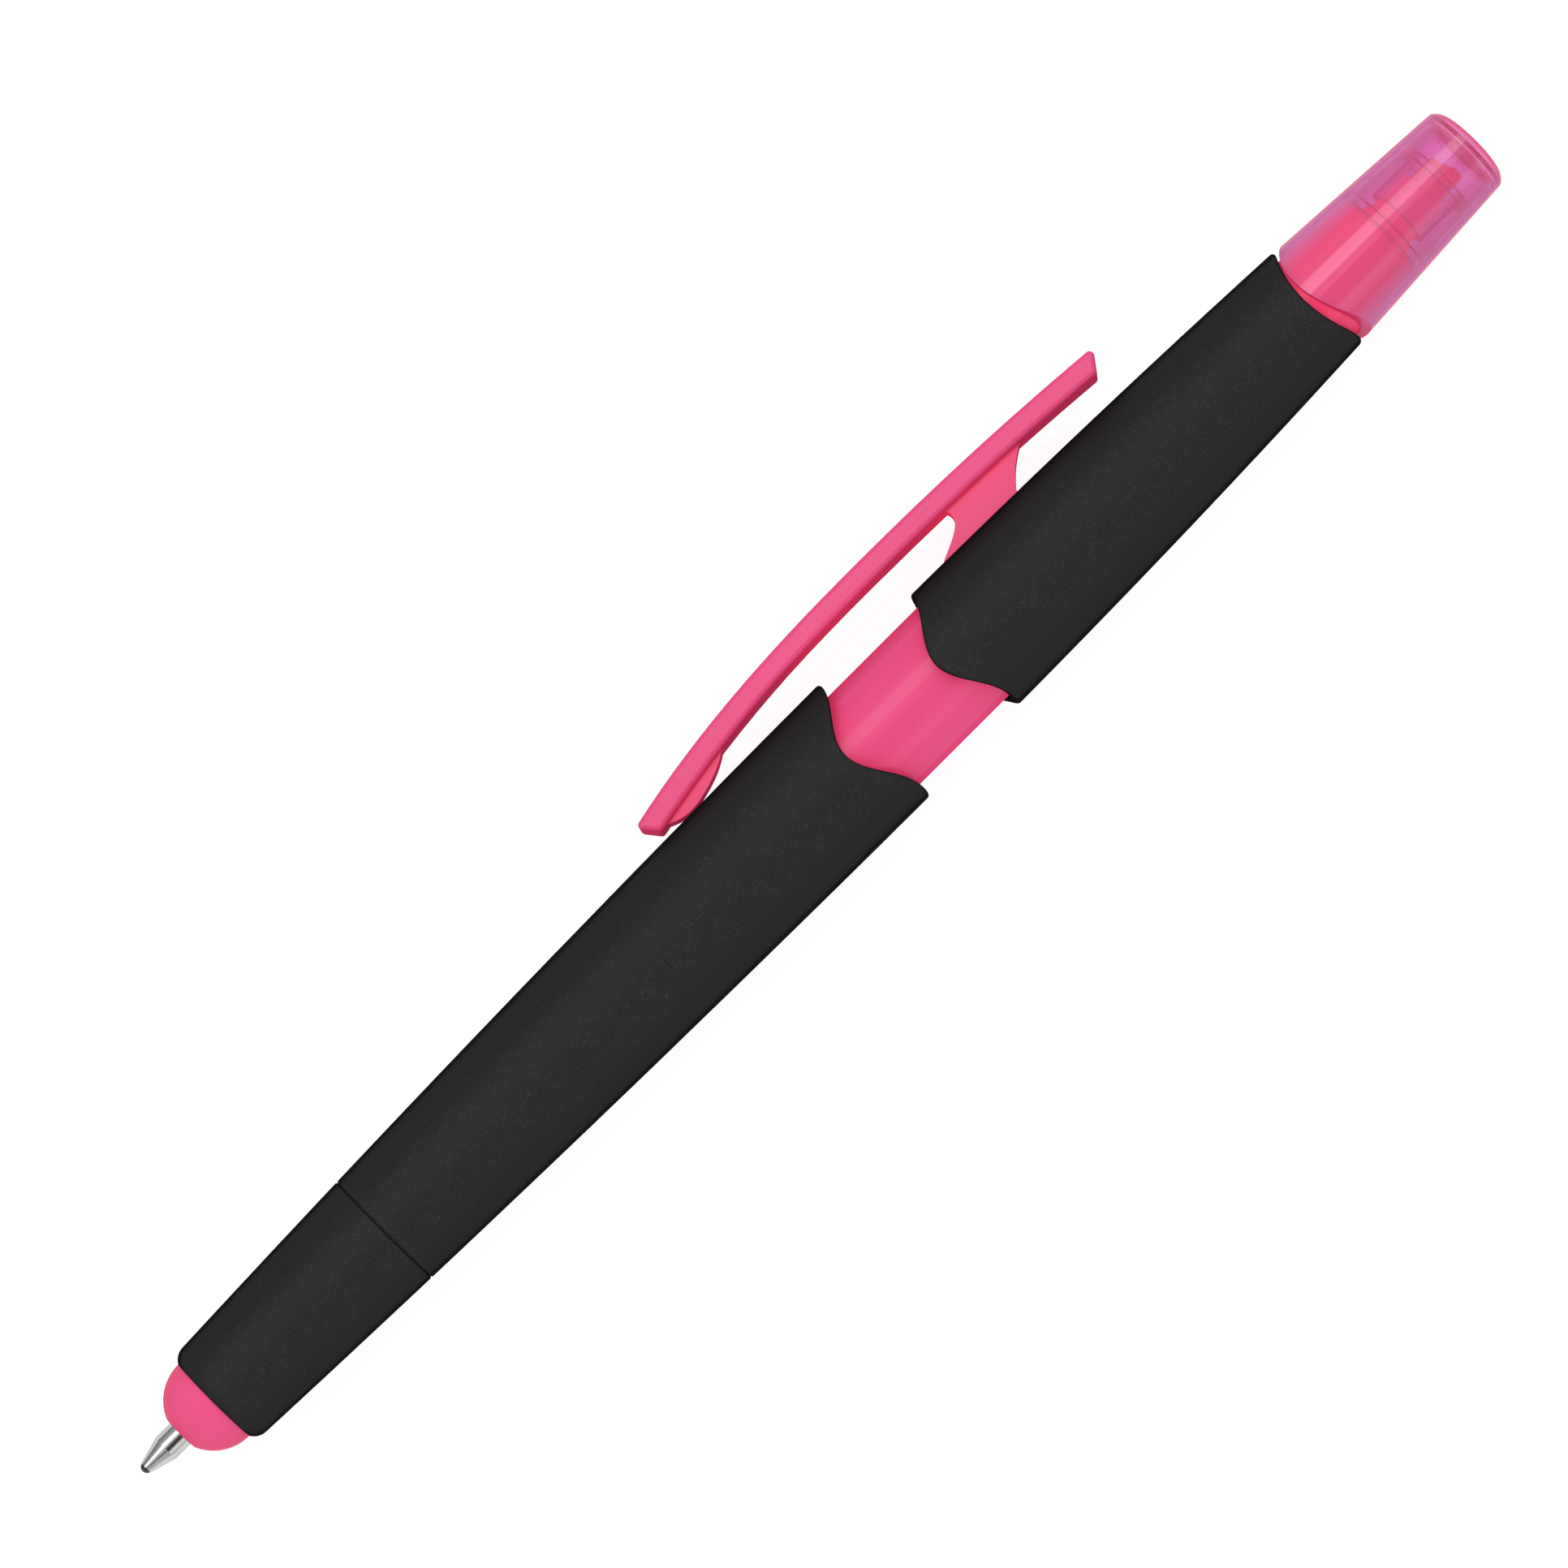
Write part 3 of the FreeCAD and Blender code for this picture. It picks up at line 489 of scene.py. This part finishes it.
def highlighter_nib():
    """Chisel nib of bonded fibre: thin tail, round body, two cheeks that close to a slanted edge."""
    low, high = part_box("highlighter_nib")
    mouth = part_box("highlighter_holder")[1].x
    radius, tail_radius = high.y, 1.18 * MM
    shoulder, wedge = mouth - 2.9 * MM, mouth + 0.7 * MM
    edge_half, slant, crown = 0.45 * MM, 0.2, 0.1 * MM
    sides, steps = 64, 10
    stations = [
        (low.x, tail_radius * 0.7),
        (low.x + 0.4 * MM, tail_radius),
        (shoulder, tail_radius),
        (shoulder + 0.1 * MM, radius * 0.94),
        (shoulder + 0.4 * MM, radius),
        (wedge, radius),
    ]
    mesh_data = bmesh.new()
    rings = [ring_of(mesh_data, x, r, sides) for x, r in stations]
    cheek_shrinks = [1.0 - 0.12 * (step / steps) ** 6 for step in range(1, steps + 1)]
    for step, shrink in enumerate([*cheek_shrinks, 0.72, 0.35], start=1):
        share = min(step, steps) / steps
        half = radius + (edge_half - radius) * share
        drop = crown * (steps + 2 - step) if step >= steps else 0.0
        ring = ring_of(mesh_data, wedge, radius, sides)
        for vertex in ring:
            y = vertex.co.y
            z = max(-half, min(half, vertex.co.z))
            reach = high.x - wedge - slant * (y + radius) * share
            vertex.co = (wedge + share * reach - drop, y * shrink, z * shrink)
        rings.append(ring)
    skin(mesh_data, rings)
    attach(stand_in("highlighter_nib", "felt", mesh_data), "upper_half")


def return_spring():
    """Wire coil with closed ends."""
    low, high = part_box("return_spring")
    wire = 0.14 * MM
    coil_radius = high.y - wire
    turns, dead_turns = 6, 0.8
    live_turns = turns - 2 * dead_turns
    dead_pitch = 2.1 * wire
    dead_length = dead_turns * dead_pitch
    steps, sides = 32 * turns, 10
    start, end = low.x + wire, high.x - wire
    corners = [2 * math.pi * k / sides for k in range(sides)]
    mesh_data = bmesh.new()
    rings = []
    for step in range(steps + 1):
        turned_by = turns * step / steps
        if turned_by < dead_turns:
            x = start + dead_length * turned_by / dead_turns
        elif turned_by > turns - dead_turns:
            x = end - dead_length * (turns - turned_by) / dead_turns
        else:
            share = (turned_by - dead_turns) / live_turns
            x = start + dead_length + (end - start - 2 * dead_length) * share
        angle = 2 * math.pi * turned_by
        outward = Vector((0, math.cos(angle), math.sin(angle)))
        centre = x * X_AXIS + coil_radius * outward
        section = [centre + wire * (math.cos(c) * outward + math.sin(c) * X_AXIS) for c in corners]
        rings.append([mesh_data.verts.new(point) for point in section])
    skin(mesh_data, rings)
    spring = stand_in("return_spring", "coil", mesh_data)
    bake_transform(spring)


# ---------------------------------------------------------------- stage, lights, camera
def add_floor():
    """Large pale floor that the pen lies on."""
    lowest = cad_bounds[0][2]
    reach = 1.5
    corners = [(-reach, -reach), (reach, -reach), (reach, reach), (-reach, reach)]
    mesh = bpy.data.meshes.new("floor")
    mesh.from_pydata([(x, y, lowest) for x, y in corners], [], [(0, 1, 2, 3)])
    floor = bpy.data.objects.new("floor", mesh)
    bpy.context.scene.collection.objects.link(floor)
    paint(floor, floor_material())


def area_light(name, angle_deg, distance, size, power):
    """Softbox along the pen, at an angle from straight up towards the clip."""
    data = bpy.data.lights.new(name, "AREA")
    data.shape = "RECTANGLE"
    data.size, data.size_y = size
    data.energy = power
    light = bpy.data.objects.new(name, data)
    bpy.context.scene.collection.objects.link(light)
    angle = math.radians(angle_deg)
    away = Vector((0, math.sin(angle), math.cos(angle)))
    middle = (cad_bounds[0][0] + cad_bounds[1][0]) / 2
    light.location = middle * X_AXIS + distance * away
    light.rotation_euler = (-away).to_track_quat("-Z", "Y").to_euler()


def add_surround():
    """Surround that dims on the clip's side and looks plain white to the camera. Gloss and metal also see a
    dark flag that hangs along the pen and narrows past the nose."""
    brightness, flag_brightness = 0.66, 0.05
    flag_angle, flag_half = math.radians(-30), math.radians(20)
    recipe = Recipe(bpy.data.worlds.new("surround"))
    rays = recipe.add("ShaderNodeLightPath").outputs
    toward = recipe.parts(recipe.add("ShaderNodeTexCoord").outputs["Generated"])
    angle = recipe.maths("ARCTAN2", toward["Y"], toward["Z"])
    off = recipe.maths("ABSOLUTE", recipe.maths("SUBTRACT", angle, flag_angle))
    half = recipe.maths("MULTIPLY", recipe.scaled(toward["X"], 0.3, 1.0, -0.5, -0.1), flag_half)
    flagged = recipe.maths("MULTIPLY", recipe.maths("LESS_THAN", off, half), rays["Is Glossy Ray"])
    hidden = recipe.maths("MULTIPLY", flagged, brightness - flag_brightness)
    shade = recipe.scaled(angle, 1.0, 0.4, 0.5, 1.4)
    strength = recipe.maths("MULTIPLY", recipe.maths("SUBTRACT", brightness, hidden), shade)
    strength = recipe.maths("MAXIMUM", strength, rays["Is Camera Ray"])
    background = recipe.add("ShaderNodeBackground", Color=WHITE, Strength=strength)
    bpy.context.scene.world = recipe.done(background, "ShaderNodeOutputWorld")


def add_lights():
    """The surround, a long softbox above the pen on the clip's side, and a weak fill opposite."""
    add_surround()
    area_light("key_softbox", 18.6, 0.45, (1.2, 0.2), 1.6)
    area_light("fill_softbox", -58, 0.55, (0.6, 0.3), 0.30)


def add_camera():
    """Looks down on the pen, turned a little away from the clip, with the pen on the rising diagonal."""
    distance, frame_width = 0.66, 0.1234
    turn = math.radians(7.4)
    foot_x, aim_x, aim_y = 0.04164, 0.07364, 0.00258
    toward = Vector((0, -math.sin(turn), math.cos(turn)))
    up_the_clip = Vector((0, math.cos(turn), math.sin(turn)))
    aim = aim_x * X_AXIS + aim_y * up_the_clip
    position = foot_x * X_AXIS + aim_y * up_the_clip + distance * toward
    forward = (aim - position).normalized()
    right = forward.cross((X_AXIS + up_the_clip).normalized()).normalized()
    up = right.cross(forward)
    data = bpy.data.cameras.new("camera")
    data.sensor_width = 36
    data.lens = data.sensor_width * (aim - position).length / frame_width
    data.clip_start = 0.01
    camera = bpy.data.objects.new("camera", data)
    camera.matrix_world = Matrix.Translation(position) @ Matrix((right, up, -forward)).transposed().to_4x4()
    bpy.context.scene.collection.objects.link(camera)
    bpy.context.scene.camera = camera


paint_cad_nodes()
stylus_dome()
friction_ring()
ink_reservoir()
highlighter_nib()
return_spring()
add_floor()
add_lights()
add_camera()
bpy.context.scene.view_settings.view_transform = "Standard"
